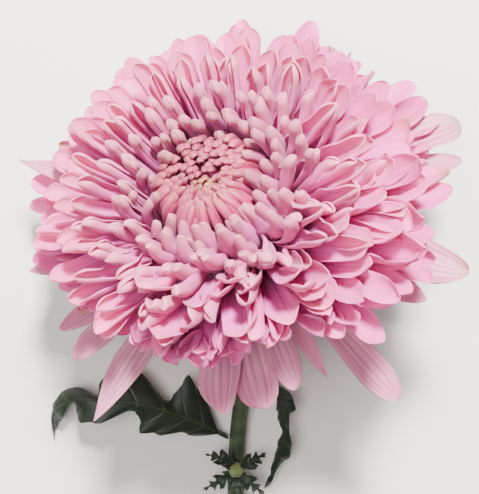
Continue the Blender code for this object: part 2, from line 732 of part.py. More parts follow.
def main():
    for obj in list(bpy.data.objects):
        bpy.data.objects.remove(obj, do_unlink=True)
    flower = bpy.data.collections.new("deco_chrysanthemum")
    bpy.context.scene.collection.children.link(flower)
    make_stem(flower)
    make_calyx(flower)
    make_bloom(flower)
    make_heart(flower)
    make_leaves(flower)
    make_tuft(flower)


main()
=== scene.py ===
# %% [markdown]
# # A deco chrysanthemum, petal by petal
#
# This lesson dresses the plain solids of a picked chrysanthemum. The real head is several hundred ray
# florets, which everyone calls petals, packed on one small seat. None of them is modelled by hand: one
# rule says where each petal stands, how it bends and how wide it is, and one surface formula turns a
# row of the rule into a thin closed blade. The same rule, with fewer petals, made the solids, so the
# fine flower keeps their form.

import math

import bpy
import numpy as np
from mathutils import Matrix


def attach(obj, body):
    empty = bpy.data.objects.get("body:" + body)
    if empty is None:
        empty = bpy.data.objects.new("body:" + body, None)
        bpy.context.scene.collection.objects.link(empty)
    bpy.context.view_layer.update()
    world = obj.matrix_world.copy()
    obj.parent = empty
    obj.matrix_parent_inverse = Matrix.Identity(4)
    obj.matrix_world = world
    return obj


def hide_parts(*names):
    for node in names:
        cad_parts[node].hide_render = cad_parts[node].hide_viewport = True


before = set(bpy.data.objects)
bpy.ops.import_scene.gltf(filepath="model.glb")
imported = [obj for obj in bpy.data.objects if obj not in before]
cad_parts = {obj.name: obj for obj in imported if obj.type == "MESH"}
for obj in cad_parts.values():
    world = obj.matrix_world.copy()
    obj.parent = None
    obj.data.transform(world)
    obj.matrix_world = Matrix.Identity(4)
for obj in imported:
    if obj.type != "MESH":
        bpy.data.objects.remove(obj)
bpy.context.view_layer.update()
MM = 0.001
GOLDEN_ANGLE = math.pi * (3.0 - math.sqrt(5.0))
print("solids:", sorted(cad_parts))

# %% [markdown]
# ## Where the flower is
#
# The flower lies on its back petals. Its own axis leans 41 degrees from the vertical, away from the
# stem, and every petal is described round that axis: a distance from it and a height along it,
# measured from the seat of the petals. The three axes below are what someone sees who looks the
# flower in the face: right, up, and outward.

# %% The bloom's own axes
BLOOM_SEAT = np.array([0.5, 52.7, 37.0]) * MM
BLOOM_LEAN = math.radians(41.0)
BLOOM_FACING = math.radians(119.8)
SEAT_RADIUS = 11.0 * MM
HEART_RADIUS = 19.0 * MM


def unit(vectors):
    """Vectors divided by their own length."""
    return vectors / np.linalg.norm(vectors, axis=-1, keepdims=True)


def smooth(x):
    """Smooth step: 3x^2 - 2x^3, held at 0 below 0 and at 1 above 1."""
    x = np.clip(x, 0.0, 1.0)
    return x * x * (3.0 - 2.0 * x)


OUTWARD = np.array([
    math.sin(BLOOM_LEAN) * math.cos(BLOOM_FACING),
    math.sin(BLOOM_LEAN) * math.sin(BLOOM_FACING),
    math.cos(BLOOM_LEAN),
])
RIGHT = unit(np.array([1.0, 0.0, 0.0]) - OUTWARD[0] * OUTWARD)
UP = np.cross(OUTWARD, RIGHT)
print("bloom faces", OUTWARD.round(3))

# %% [markdown]
# ## From a formula to a mesh
#
# Every thin part of this plant is a sheet: two faces that share their rim. The helper below takes a
# grid of points for the upper face of many sheets at once, and the same grid without its rim for the
# lower face, and numbers the faces so that each sheet is closed and faces outwards. Two maps go with
# it. The UV map runs across and along each sheet, so that veins and tints follow it however it bends.
# A colour attribute named "grow" holds three numbers: how far out the sheet stands, a random tone for
# each sheet, and which face a point is on, with 0 on the upper face, 1 on the lower and 0.5 on the rim.

# %% Helper: closed sheets
def across_places(columns):
    """Places of the columns across a sheet, sin(pi t / 2) for even t, so that they crowd at the rims."""
    return np.sin(0.5 * math.pi * np.linspace(-1.0, 1.0, columns))


def sheet_faces(rows, columns):
    """Triangles of one closed sheet: upper grid, lower grid, a fan at the tip and a cap at the root."""
    front = np.arange(rows * columns).reshape(rows, columns)
    back = front.copy()
    back[:, 1:-1] = front.size + np.arange(rows * (columns - 2)).reshape(rows, columns - 2)
    apex = rows * (2 * columns - 2)
    faces = []
    for grid, flip in ((front, False), (back, True)):
        near, far = grid[:-1, :-1].ravel(), grid[1:, 1:].ravel()
        right, left = grid[:-1, 1:].ravel(), grid[1:, :-1].ravel()
        fan = np.stack([grid[-1, :-1], grid[-1, 1:], np.full(columns - 1, apex)], 1)
        block = np.vstack([np.stack([near, right, far], 1), np.stack([near, far, left], 1), fan])
        faces.append(block[:, ::-1] if flip else block)
    faces.append(np.stack([front[0, :-1], back[0, :-1], back[0, 1:]], 1)[1:])
    faces.append(np.stack([front[0, :-1], back[0, 1:], front[0, 1:]], 1)[:-1])
    return np.vstack(faces)


def add_object(name, data):
    """Adds an object of a mesh, a lamp or a camera to the scene."""
    obj = bpy.data.objects.new(name, data)
    bpy.context.scene.collection.objects.link(obj)
    return obj


def add_piece(name, mesh, material, replaces):
    """Makes an object of a mesh. It rides on the flower and takes the place of the named solids."""
    mesh.shade_smooth()
    mesh.materials.append(material)
    obj = add_object(name, mesh)
    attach(obj, "root")
    if replaces:
        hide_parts(*replaces)


def sheet_uv(along, columns):
    """UV of every point of the sheets, in the order upper grid, lower grid, tip."""
    sheets, rows = along.shape
    across = 0.5 + 0.5 * across_places(columns)
    maps = []
    for band in (across, across[1:-1]):
        shape = (sheets, rows, len(band))
        pair = [np.broadcast_to(band, shape), np.broadcast_to(along[..., None], shape)]
        maps.append(np.stack(pair, -1).reshape(sheets, -1, 2))
    maps.append(np.broadcast_to([0.5, 1.0], (sheets, 1, 2)))
    return np.concatenate(maps, 1).reshape(-1, 2)


def sheet_grow(rows, columns, share, tone):
    """Share, tone and face of every point of the sheets, in the same order."""
    rim = np.zeros((rows, columns))
    rim[:, [0, -1]] = 0.5
    face = np.concatenate([rim.ravel(), np.ones(rows * (columns - 2)), [0.5]])
    size = len(face)
    return np.stack([np.repeat(share, size), np.repeat(tone, size), np.tile(face, len(share)),
                     np.ones(size * len(share))], 1)


def sheet_object(name, upper, lower, tips, along, share, tone, material, slot, replaces=()):
    """Makes one object of many sheets.

    upper is (sheets, rows, columns, 3), lower the same without its first and last column, and
    tips one point for each sheet. along (sheets, rows) is each row's place from root to tip.
    """
    sheets, rows, columns = upper.shape[:3]
    points = np.concatenate([upper.reshape(sheets, -1, 3), lower.reshape(sheets, -1, 3), tips[:, None]], 1)
    first = (np.arange(sheets) * points.shape[1])[:, None, None]
    faces = (sheet_faces(rows, columns)[None] + first).reshape(-1, 3)
    mesh = bpy.data.meshes.new(name)
    mesh.from_pydata(points.reshape(-1, 3), [], faces)
    layer = mesh.uv_layers.new(name="UVMap")
    layer.data.foreach_set("uv", sheet_uv(along, columns)[faces.ravel()].ravel())
    colour = mesh.color_attributes.new("grow", "FLOAT_COLOR", "POINT")
    colour.data.foreach_set("color", sheet_grow(rows, columns, share, tone).ravel())
    add_piece(name, mesh, material, replaces)
    print(name, sheets, "sheets,", len(faces), "triangles")


# %% [markdown]
# ## Colour and nodes
#
# Petal colours are written as the hex values that a colour picker shows. A renderer works in linear
# light, so one function converts them. Materials are built with a few more helpers, which add shader
# nodes, set their values and draw their links.

# %% Helpers: linear colour, and nodes with their settings and links
def linear(code):
    """Linear RGBA of an sRGB hex code such as E8B0C4."""
    srgb = np.array([int(code[k:k + 2], 16) for k in (0, 2, 4)]) / 255.0
    light = np.where(srgb <= 0.04045, srgb / 12.92, ((srgb + 0.055) / 1.055) ** 2.4)
    return (*light.tolist(), 1.0)


def new_material(name):
    """Empty node material and its tree."""
    material = bpy.data.materials.new(name)
    material.use_nodes = True
    material.node_tree.nodes.clear()
    return material, material.node_tree


def add_node(tree, kind, values=None, **settings):
    """Adds a shader node. values are numbers for its sockets, or other nodes' sockets to link."""
    node = tree.nodes.new("ShaderNode" + kind)
    for key, value in settings.items():
        setattr(node, key, value)
    for socket, value in (values or {}).items():
        if isinstance(value, bpy.types.NodeSocket):
            tree.links.new(value, node.inputs[socket])
        else:
            node.inputs[socket].default_value = value
    return node


def colour_ramp(tree, value, stops):
    """Colour at a value, between stops that each have a place and a hex code or a grey."""
    node = add_node(tree, "ValToRGB", {"Fac": value})
    band = node.color_ramp.elements
    while len(band) < len(stops):
        band.new(0.5)
    for element, (place, colour) in zip(band, stops):
        element.position = place
        element.color = linear(colour) if isinstance(colour, str) else (colour, colour, colour, 1.0)
    return node.outputs[0]


def blend(tree, factor, under, over, **settings):
    """Colour between two others. over may be a hex code."""
    colour = linear(over) if isinstance(over, str) else over
    node = add_node(tree, "Mix", {"Factor": factor, "A": under, "B": colour}, data_type="RGBA", **settings)
    return node.outputs["Result"]


def ramp(tree, value, start, end, low=0.0, high=1.0):
    """Straight ramp of a value, from low at start to high at end, and level beyond them."""
    node = add_node(tree, "MapRange", {"Value": value, "From Min": start, "From Max": end,
                                       "To Min": low, "To Max": high})
    return node.outputs[0]


def compute(tree, operation, first, second=0.0):
    """Result of one operation on a value, or on two."""
    return add_node(tree, "Math", {0: first, 1: second}, operation=operation).outputs[0]


def from_middle(tree, place):
    """How far a place is from 0.5, the middle line of a sheet."""
    return compute(tree, "ABSOLUTE", compute(tree, "SUBTRACT", place, 0.5))


def patches(tree, size, detail=2.0):
    """Noise that is fixed to the object, in patches of a given size."""
    place = add_node(tree, "TexCoord")
    values = {"Vector": place.outputs["Object"], "Scale": 1.0 / size, "Detail": detail}
    return add_node(tree, "TexNoise", values).outputs[0]


def sheet_maps(tree):
    """The maps of a sheet: across, along, share, tone and face."""
    uv = add_node(tree, "UVMap", uv_map="UVMap")
    split = add_node(tree, "SeparateXYZ", {"Vector": uv.outputs[0]})
    grow = add_node(tree, "Attribute", attribute_name="grow")
    parts = add_node(tree, "SeparateColor", {"Color": grow.outputs["Color"]})
    return split.outputs[:2] + parts.outputs[:3]


def finish_skin(tree, skin, passing=None, passed=0.0):
    """Sends a skin to the output, mixed with light of the colour passing, a share passed of it."""
    surface = skin
    if passing is not None:
        glow = add_node(tree, "BsdfTranslucent", {"Color": passing})
        surface = add_node(tree, "MixShader", {0: passed, 1: skin.outputs[0], 2: glow.outputs[0]})
    add_node(tree, "OutputMaterial", {"Surface": surface.outputs[0]})


# %% [markdown]
# ## The finish of a petal
#
# A chrysanthemum petal is a few layers of clear, air-filled cells with the pink dye in the outermost
# one. That gives three things to draw. The colour runs from lilac rose in the throat to a clear light
# pink at the tip, and the thin rim of an open petal has painted shade, a deeper rose that damps the
# light the rim catches. Fine parallel veins run along it, drawn here a little under a millimetre apart.
# And light passes through it, so a petal in the shade of another glows rose: part of the shader is
# translucent and paler than the skin, and the rest has a little subsurface scattering under a soft
# satin skin. The narrow inner petals are a shade duller, with beige tips. The tips of a few outer ones
# have begun to brown, and the long hanging ones are painted darker and duller towards their bases, as
# painted shade where the flower above shades them.

# %% Petal material
# across, along and from petal to petal
VEIN_SCALE = (11.0, 0.9, 40.0)
# over how much a tint fades in
FADE = 0.25
BROWN_TIP = "A07450"
# painted shade on the hanging petals' bases, where the flower above them shades them
BASE_SHADE_TINTS = ((0.38, "A06E7E"), (0.62, "CA9CA8"))
PASSING_LIGHT = "F2B8D0"


def petal_veins(tree, across, along, tone):
    """Noise stretched along the petal, about 11 bands across its width, other ones on each petal."""
    place = add_node(tree, "CombineXYZ", {"X": across, "Y": along, "Z": tone})
    grain = add_node(tree, "Mapping", {"Vector": place.outputs[0], "Scale": VEIN_SCALE})
    return add_node(tree, "TexNoise", {"Vector": grain.outputs[0], "Scale": 1.0, "Detail": 2.0}).outputs[0]


def petal_rim_shade(tree, colour, across, share, tint, most, begins, opens):
    """Painted shade: a deeper tint on the rim of open petals only, since a closed one shows no rim."""
    rim = ramp(tree, from_middle(tree, across), begins, begins + FADE, high=most)
    opened = ramp(tree, share, opens, opens + FADE)
    return blend(tree, compute(tree, "MULTIPLY", rim, opened), colour, tint)


def petal_tips(tree, colour, along, share, tone, tint, reach, brown):
    """Tints the tips of the inner petals, then browns those of a few outer ones."""
    tip = ramp(tree, along, 0.75, 1.0, high=0.6)
    inner = ramp(tree, share, 0.0, reach, 1.0, 0.0)
    tipped = blend(tree, compute(tree, "MULTIPLY", tip, inner), colour, tint)
    old = ramp(tree, share, 0.60, 0.75)
    few = ramp(tree, tone, 0.86, 0.94)
    dry = ramp(tree, along, 0.90, 0.99, high=brown)
    withered = compute(tree, "MULTIPLY", compute(tree, "MULTIPLY", old, few), dry)
    return blend(tree, withered, tipped, BROWN_TIP)


def petal_base_shade(tree, colour, along, share, veins):
    """Paints shade on the petals that hang free, darker and duller towards their bases, under the flower."""
    loose = ramp(tree, share, 0.94, 0.98)
    base = ramp(tree, along, 0.45, 0.95, 0.95, 0.60)
    return blend(tree, compute(tree, "MULTIPLY", loose, base), colour, colour_ramp(tree, veins, BASE_SHADE_TINTS))


def petal_level(tree, share, tone):
    """How light each petal is: a little unlike the next, and darker near the heart."""
    lift = ramp(tree, tone, 0.0, 1.0, 0.88, 1.08)
    dusty = ramp(tree, share, 0.0, 0.30, 0.73, 1.0)
    return compute(tree, "MULTIPLY", lift, dusty)


def petal_material(name, bands, back, rim, tips):
    """Petal skin. bands and back run from root to tip on the inner and outer face.

    rim says the tint of the shade painted on the rim, the most of it, how far from the middle line it
    begins, and on petals how far out. tips says the inner tips' tint, how far out it goes, and how brown
    the dry ones are.
    """
    material, tree = new_material(name)
    across, along, share, tone, face = sheet_maps(tree)
    sides = blend(tree, face, colour_ramp(tree, along, bands), colour_ramp(tree, along, back))
    veins = petal_veins(tree, across, along, tone)
    lines = colour_ramp(tree, veins, [(0.35, 0.72), (0.65, 1.0)])
    colour = blend(tree, 0.8, sides, lines, blend_type="MULTIPLY")
    colour = petal_rim_shade(tree, colour, across, share, *rim)
    colour = petal_tips(tree, colour, along, share, tone, *tips)
    colour = petal_base_shade(tree, colour, along, share, veins)
    level = petal_level(tree, share, tone)
    final = add_node(tree, "HueSaturation", {"Color": colour, "Value": level}).outputs[0]
    bump = add_node(tree, "Bump", {"Height": veins, "Strength": 0.35, "Distance": 0.25 * MM})
    skin = add_node(tree, "BsdfPrincipled", {
        "Base Color": final, "Roughness": 0.46, "IOR": 1.42, "Specular IOR Level": 0.4,
        "Subsurface Weight": 0.2, "Subsurface Radius": (0.8, 0.4, 0.5), "Subsurface Scale": 1.2 * MM,
        "Sheen Weight": 0.15, "Sheen Roughness": 0.5, "Normal": bump.outputs[0]})
    finish_skin(tree, skin, blend(tree, 0.45, final, PASSING_LIGHT), 0.38)
    return material


# The rim tint is painted shade: it darkens the thin rim of an open petal, which catches the light.
PETAL_SKIN = petal_material(
    "ray_petal_satin",
    [(0.0, "DC80B8"), (0.35, "E470BC"), (0.62, "EA64B8"), (0.85, "F26AB8"), (1.0, "FA76BA")],
    [(0.0, "DC84B0"), (0.4, "E270B0"), (0.75, "EA68B0"), (1.0, "F272B4")],
    rim=("E468B0", 0.5, 0.40, 0.05), tips=("E2A090", 0.60, 0.9))
print("petal skin:", PETAL_SKIN.name)

# %% [markdown]
# ## How the petals stand
#
# Petals grow in the order of a sunflower's seeds: each one turns by the golden angle from the one
# before, so no two stand in line. Counted from the heart outwards, their tips follow one curve of
# distance and height, which is the outline of half the flower in section. Petals near the heart are
# short and rolled into fingers, with round tips that hook back over. Those at the rim are long, broad
# and nearly flat. On the low side, towards the stem, the inner ones open into broad lobes under their
# finger tips, the next are twisted and crumpled, and the outermost rows thin out and hang, as the
# photograph shows. Eleven broad lobes there, the long hanging petals and those that the flower rests
# on are placed one by one. Small seeded draws keep any two of the others from being alike.

# %% The rule for open petals
PETAL_COUNT = 408
PETAL_WIDTH = (10.4 * MM, 10.0 * MM)
PETAL_STEPS = 80
PRESSED_HEIGHT = 4.0 * MM
# where round the flower it is barest, lowest and fullest, in degrees from RIGHT towards UP
BARE_AZIMUTH = 252.0
LOW_AZIMUTH = 300.0
FULL_AZIMUTH = 135.0
# how far out a petal stands, from 0 to 1, and its tip's distance from the axis and height in mm
TIP_PROFILE = (
    (0.000, 19.0, 33.5),
    (0.055, 23.0, 37.0),
    (0.130, 30.5, 39.5),
    (0.255, 42.0, 37.5),
    (0.460, 55.0, 28.0),
    (0.720, 64.0, 14.0),
    (1.000, 70.0, -3.0),
)
# distance and height of the tips where it is barest, and of the roots of petals placed one by one
BARE_TIP = (50.5 * MM, 14.0 * MM)
LOBE_ROOT = (16.0 * MM, 6.0 * MM)
HANGING_ROOT = (SEAT_RADIUS, 2.5 * MM)
# broad lobes on the low side: azimuth, angle from the axis, length mm, width mm, pointedness
LOW_LOBES = (
    (248, 42, 44, 17.0, 0.1),
    (258, 58, 47, 14.5, 0.1),
    (331, 57, 45, 13.5, 0.1),
    (311, 73, 44, 14.5, 0.1),
    (297, 74, 40, 13.5, 0.2),
    (283, 63, 45, 13.5, 0.1),
    (294, 50, 43, 12.0, 0.3),
    (308, 54, 45, 12.0, 0.2),
    (270, 49, 43, 12.5, 0.2),
    (279, 48, 42, 11.5, 0.3),
    (286, 43, 40, 11.0, 0.2),
)
# long petals that hang free, in the same terms
HANGING_PETALS = (
    (228, 100, 66, 13.5, 0.9),
    (260, 112, 50, 14.0, 0.0),
    (271, 116, 49, 14.0, 0.0),
    (310, 121, 66, 11.0, 0.3),
    (296, 119, 47, 6.0, 1.0),
    (286, 115, 46, 10.5, 0.3),
    (214, 97, 57, 10.5, 0.4),
    (203, 95, 56, 9.0, 0.6),
    (187, 88, 60, 9.0, 0.7),
    (161, 72, 66, 7.0, 1.0),
    (21, 96, 67.8, 13.5, 0.1),
    (13, 100, 63.8, 10.5, 0.5),
    (346, 110, 64.8, 15.0, 0.4),
    (336, 114, 55, 10.0, 0.4),
)
# rows of the list above whose tips have browned: far left and two at the right
BROWNED_ROWS = (9, 10, 12)
# petals pressed on the surface, on which the flower rests, in the same terms
RESTING_PETALS = (
    (54, 122, 58, 10.5, 0.3),
    (88, 108, 56, 10.5, 0.3),
    (122, 106, 58, 10.0, 0.3),
    (156, 114, 60, 10.5, 0.3),
    (178, 124, 56, 10.0, 0.4),
)
# hanging petals over this width in mm are ragged
RAGGED_WIDTH = 13.8
BLADE_TERMS = ("azimuth", "root_r", "root_h", "start", "end", "length", "width", "hook", "curl", "flare",
               "spoon", "sway", "twist", "point", "crumple", "share")


def blade_form(count, **terms):
    """Place and form of each blade: every term as one number for each, 0 where it isn't given.

    start and end are the blade's angle from the flower's axis at its root and near its tip. hook is
    how far the tip bends back in, curl the half angle of the arc across the blade, flare how much
    that arc opens at the tip, spoon how much it opens under the tip, and crumple how uneven the
    blade is. share is how far out it stands, from 0 at the heart to 1.
    """
    return {term: np.zeros(count) + terms.get(term, 0.0) for term in BLADE_TERMS}


def chord_of(root_r, root_h, tip_r, tip_h):
    """Length of the chord from root to tip, and its angle from the flower's axis."""
    return np.hypot(tip_r - root_r, tip_h - root_h), np.arctan2(tip_r - root_r, tip_h - root_h)


def nearness(azimuth, degrees):
    """1 at an azimuth given in degrees and 0 opposite it, as a cosine between."""
    return 0.5 + 0.5 * np.cos(azimuth - math.radians(degrees))


def tip_places(q, azimuth, draw, low, bare):
    """Distance and height of each tip: the profile with draws, sunk where low, drawn in where bare."""
    share, radius, height = np.array(TIP_PROFILE).T
    fuller = 1.0 + 0.012 * q * np.cos(azimuth - math.radians(FULL_AZIMUTH))
    tip_r = np.interp(q, share, radius * MM) * (fuller + (0.032 + 0.010 * q) * draw[:, 0])
    tip_h = np.interp(q, share, height * MM) + (1.8 + 1.4 * q) * MM * draw[:, 1]
    sunk = (3.5 + 1.6 * draw[:, 8]) * MM
    tip_h = tip_h - sunk * low * smooth(q / 0.07) * (1.0 - smooth((q - 0.20) / 0.20))
    return tip_r + 0.85 * bare * (BARE_TIP[0] - tip_r), tip_h + 0.85 * bare * (BARE_TIP[1] - tip_h)


def ruled_petals(count):
    """Form of the petals that follow the rule, from the heart outwards.

    A petal's angles are the slope of its chord, less and plus a bow, which is inward beside the
    heart and outward at the rim. Where the low side is bare, one petal in three is left out.
    """
    rng = np.random.default_rng(11)
    q = (np.arange(count) + 0.5) / count
    draw = rng.normal(size=(count, 9)).clip(-2.0, 2.0)
    azimuth = np.arange(count) * GOLDEN_ANGLE + np.radians(4.0) * draw[:, 3]
    bare = smooth((nearness(azimuth, BARE_AZIMUTH) - 0.64) / 0.28) * smooth((q - 0.45) / 0.15)
    low = smooth(nearness(azimuth, LOW_AZIMUTH))
    near_heart = 1.0 - smooth(q / 0.35)
    spoon = low * (1.0 - smooth((q - 0.30) / 0.30))
    tangled = low * smooth((q - 0.18) / 0.20)
    tip_r, tip_h = tip_places(q, azimuth, draw, low, bare)
    root_r = HEART_RADIUS + 1.5 * MM + (SEAT_RADIUS - HEART_RADIUS - 1.5 * MM) * q
    root_h = (9.0 - 6.5 * q) * MM
    chord, slope = chord_of(root_r, root_h, tip_r, tip_h)
    bow = np.radians(-6.0 + 26.0 * smooth(q / 0.4) + 5.0 * draw[:, 2])
    width = PETAL_WIDTH[0] + (PETAL_WIDTH[1] - PETAL_WIDTH[0]) * q
    curl = 3.40 - 2.55 * smooth(q / 0.70) + 0.14 * draw[:, 6] + 0.9 * spoon * smooth(q / 0.25)
    petals = blade_form(
        count,
        azimuth=azimuth, root_r=root_r, root_h=root_h,
        start=slope - bow, end=slope + bow,
        length=chord * (1.0 + bow ** 2 / 6.0),
        width=width * (1.0 + 0.12 * draw[:, 4] + 0.35 * spoon - 0.10 * near_heart),
        hook=np.radians(38.0 + 14.0 * draw[:, 5]),
        curl=np.clip(curl, 3.15 * (1.0 - smooth((q - 0.19) / 0.24)), 3.25),
        flare=0.35 * smooth((q - 0.22) / 0.22) * (1.0 - spoon),
        spoon=0.50 * spoon,
        sway=np.radians(8.0 + 10.0 * tangled) * draw[:, 7],
        twist=np.radians(8.0 + 16.0 * q + 22.0 * tangled) * draw[:, 1],
        point=0.03 + 0.16 * near_heart + q * (0.10 + 0.16 * np.abs(draw[:, 3])),
        crumple=np.abs(draw[:, 8]) * q ** 2 + 1.2 * bare + 1.6 * tangled,
        share=0.90 * q,
    )
    kept = (bare < 0.5) | (np.arange(count) % 3 != 0)
    return {term: value[kept] for term, value in petals.items()}


def placed_petals():
    """Form of the lobes, the hanging petals and the resting ones. Cosines stand in for draws."""
    azimuth, polar, length, width, point = np.array(LOW_LOBES + HANGING_PETALS + RESTING_PETALS).T
    lobe = np.arange(len(polar)) < len(LOW_LOBES)
    return blade_form(
        len(polar),
        azimuth=np.radians(azimuth),
        root_r=np.where(lobe, LOBE_ROOT[0], HANGING_ROOT[0]),
        root_h=np.where(lobe, LOBE_ROOT[1], HANGING_ROOT[1]),
        start=np.radians(polar - 14.0), end=np.radians(polar + 14.0),
        length=length * MM, width=width * MM,
        hook=np.radians(np.where(lobe, 34.0, 12.0)),
        curl=np.where(lobe, 0.85, 0.42),
        flare=np.where(lobe, 0.15, 0.35),
        sway=np.radians(4.0) * np.cos(7.0 * azimuth),
        twist=np.radians(14.0) * np.cos(5.0 * azimuth),
        point=point,
        crumple=np.where(lobe, 1.5, np.where(width > RAGGED_WIDTH, 3.5, 1.0)),
        share=np.where(lobe, 0.36, 1.0),
    )


ruled, placed = ruled_petals(PETAL_COUNT), placed_petals()
petal_form = {term: np.concatenate([ruled[term], placed[term]]) for term in BLADE_TERMS}
print("open petals:", len(ruled["azimuth"]), "by the rule and", len(placed["azimuth"]), "one by one")

# %% [markdown]
# ## The path of a petal
#
# A petal's middle line is walked in small steps. Its heading turns evenly from the root's angle to the
# tip's and hooks back in at the end. A petal that would pass through the surface that the
# flower lies on is bent along it instead, and turns flat against it. Each point also gets a normal,
# which looks to the petal's inner face, and a side, which points across it.

# %% Paths with their frames
def blade_end(form):
    """Share of each blade that its end takes: over half its breadth, more where it is pointed.

    The breadth is that of the rolled blade: width times sin(b)/b, or a tube's width/b.
    """
    b = form["curl"]
    breadth = form["width"] * np.sin(np.minimum(b, 0.5 * math.pi)) / b
    return ((0.62 + 1.9 * form["point"]) * breadth / form["length"])[:, None]


def walk(root, heading, step, floor):
    """Points from each root, a step along each heading. One that leads under the floor turns along it."""
    points = np.empty_like(heading)
    points[:, 0] = root
    for k in range(PETAL_STEPS):
        here = points[:, k]
        ahead = heading[:, k]
        rise = np.clip((floor - here[:, 2]) / step, -1.0, 0.5)
        ahead[:, 2] = np.maximum(ahead[:, 2], rise)
        level = np.sqrt(np.maximum(1.0 - ahead[:, 2] ** 2, 0.0))
        ahead[:, :2] *= (level / np.linalg.norm(ahead[:, :2], axis=1))[:, None]
        points[:, k + 1] = here + ahead * step[:, None]
    heading[:, -1] = heading[:, -2]
    return points


def blade_paths(form, floor):
    """Points, normals and sides along every blade, walked from its root."""
    s = np.linspace(0.0, 1.0, PETAL_STEPS + 1)[None, :]
    polar = form["start"][:, None] + (form["end"] - form["start"])[:, None] * s
    onset = 1.0 - ((1.0 + 2.9 * form["point"]) * form["width"] / form["length"])[:, None]
    polar = polar - form["hook"][:, None] * smooth((s - onset) / (1.0 - onset))
    azimuth = form["azimuth"][:, None] + form["sway"][:, None] * s
    radial = np.cos(azimuth)[..., None] * RIGHT + np.sin(azimuth)[..., None] * UP
    heading = np.sin(polar)[..., None] * radial + np.cos(polar)[..., None] * OUTWARD
    normal = np.sin(polar)[..., None] * OUTWARD - np.cos(polar)[..., None] * radial
    root = radial[:, 0] * form["root_r"][:, None] + OUTWARD * form["root_h"][:, None]
    points = walk(root + BLOOM_SEAT, heading, form["length"] / PETAL_STEPS, floor)
    pressed = smooth(1.0 - (points[..., 2] - floor[:, None]) / PRESSED_HEIGHT)[..., None]
    flat = np.zeros_like(normal)
    flat[..., 2] = np.where(normal[..., 2] < 0.0, -1.0, 1.0)
    side = unit(np.cross(heading, normal * (1.0 - pressed) + flat * pressed))
    normal = np.cross(side, heading)
    turn = form["twist"][:, None, None] * s[..., None] * (1.0 - pressed)
    return points, np.cos(turn) * normal + np.sin(turn) * side, np.cos(turn) * side - np.sin(turn) * normal


# %% [markdown]
# ## The surface of a petal
#
# Across its path the petal is an arc. On the quilled inner petals it is a whole turn, one rim tucked
# under the other like a scroll, so they are closed fingers. On the outer ones it is an open gutter that
# flattens at the tip. Its width starts as a narrow claw, grows to four fifths of the way along and
# ends in a half circle or drawn out. A low crease runs down the middle of the broad petals and their
# rims wave a little. The lower face lies 0.4 mm under the upper one, and the two meet in a fine rim.
# A blade that would dip into the surface is lifted, and the top of the flower is held to the solids'.

# %% Petal surface
BODY_STATIONS = np.linspace(0.0, 1.0, 10)
CAP_STATIONS = np.array([0.30, 0.55, 0.76, 0.90, 0.975])
CROWN_FROM = 86.0 * MM
CROWN_DEPTH = 7.0 * MM
LEAST_HEIGHT = 0.1 * MM


def blade_stations(form):
    """Places of the rows along each blade: even ones up to where its end begins, then closer ones."""
    end = blade_end(form)
    return np.concatenate([BODY_STATIONS * (1.0 - end), 1.0 - end + end * CAP_STATIONS], 1)


def blade_half_width(s, form):
    """Half width at s: a claw that widens, then an end between a half circle and a drawn-out one."""
    end = blade_end(form)
    claw = 0.40 + 0.60 * smooth(s / 0.82)
    x = np.clip((s - 1.0 + end) / end, 0.0, 1.0)
    point = form["point"][:, None]
    outline = (1.0 - point) * np.sqrt(1.0 - x ** 2.6) + point * (1.0 - x ** 1.5)
    return 0.5 * form["width"][:, None] * claw * outline


def blade_arc(s, form):
    """Half width and half angle at s of the arc across each blade, with its flare and its spoon."""
    spoon = form["spoon"][:, None]
    below_tip = 1.0 - smooth((s - 0.66) / 0.20)
    angle = form["curl"][:, None] * (1.0 - form["flare"][:, None] * smooth((s - 0.72) / 0.28))
    width = blade_half_width(s, form) * (1.0 - 0.5 * spoon * (1.0 - below_tip))
    return width[..., None, None], (angle * (1.0 - spoon * below_tip))[..., None, None]


def at_stations(grid, s):
    """Values of a path's grid at places s along each blade, between its steps."""
    spot = np.clip(s * PETAL_STEPS, 0.0, PETAL_STEPS - 1e-6)
    k = spot.astype(int)
    part = (spot - k)[..., None]
    rows = np.arange(len(grid))[:, None]
    return grid[rows, k] * (1.0 - part) + grid[rows, k + 1] * part


def relief(s, v, form, crease, wave):
    """How far each point stands off the arc: waves that grow to the rims, and a crease in the middle."""
    place = s[..., None, None]
    phase = 7.0 * np.arange(len(s))[:, None, None, None]
    ripple = (np.sin(9.0 * place + phase + 1.5 * v) + 0.6 * np.sin(17.0 * place - 2.0 * phase)) * v ** 2
    fold = -np.exp(-(v / 0.16) ** 2) * smooth(place / 0.5) * (1.0 - smooth((place - 0.88) / 0.12))
    broad = smooth((form["share"] - 0.25) / 0.5)[:, None, None, None]
    rough = form["crumple"][:, None, None, None]
    return wave * (broad + rough) * ripple * smooth(place / 0.4) + crease * broad * fold


def within_top(height):
    """Heights pressed softly under the top of the solids: z0 + d tanh((z - z0) / d) above z0."""
    return np.minimum(height, CROWN_FROM + CROWN_DEPTH * np.tanh((height - CROWN_FROM) / CROWN_DEPTH))


def keep_between(upper, lower, tips, s):
    """Lifts each blade off the surface it would dip into, and keeps it under the top."""
    lowest = np.minimum(upper[..., 2].min((1, 2)), lower[..., 2].min((1, 2)))
    lift = np.maximum(LEAST_HEIGHT - lowest, 0.0)
    rise = lift[:, None, None] * smooth(s / 0.4)[..., None]
    for face in (upper, lower):
        face[..., 2] = within_top(face[..., 2] + rise)
    tips[:, 2] = within_top(tips[:, 2] + lift)


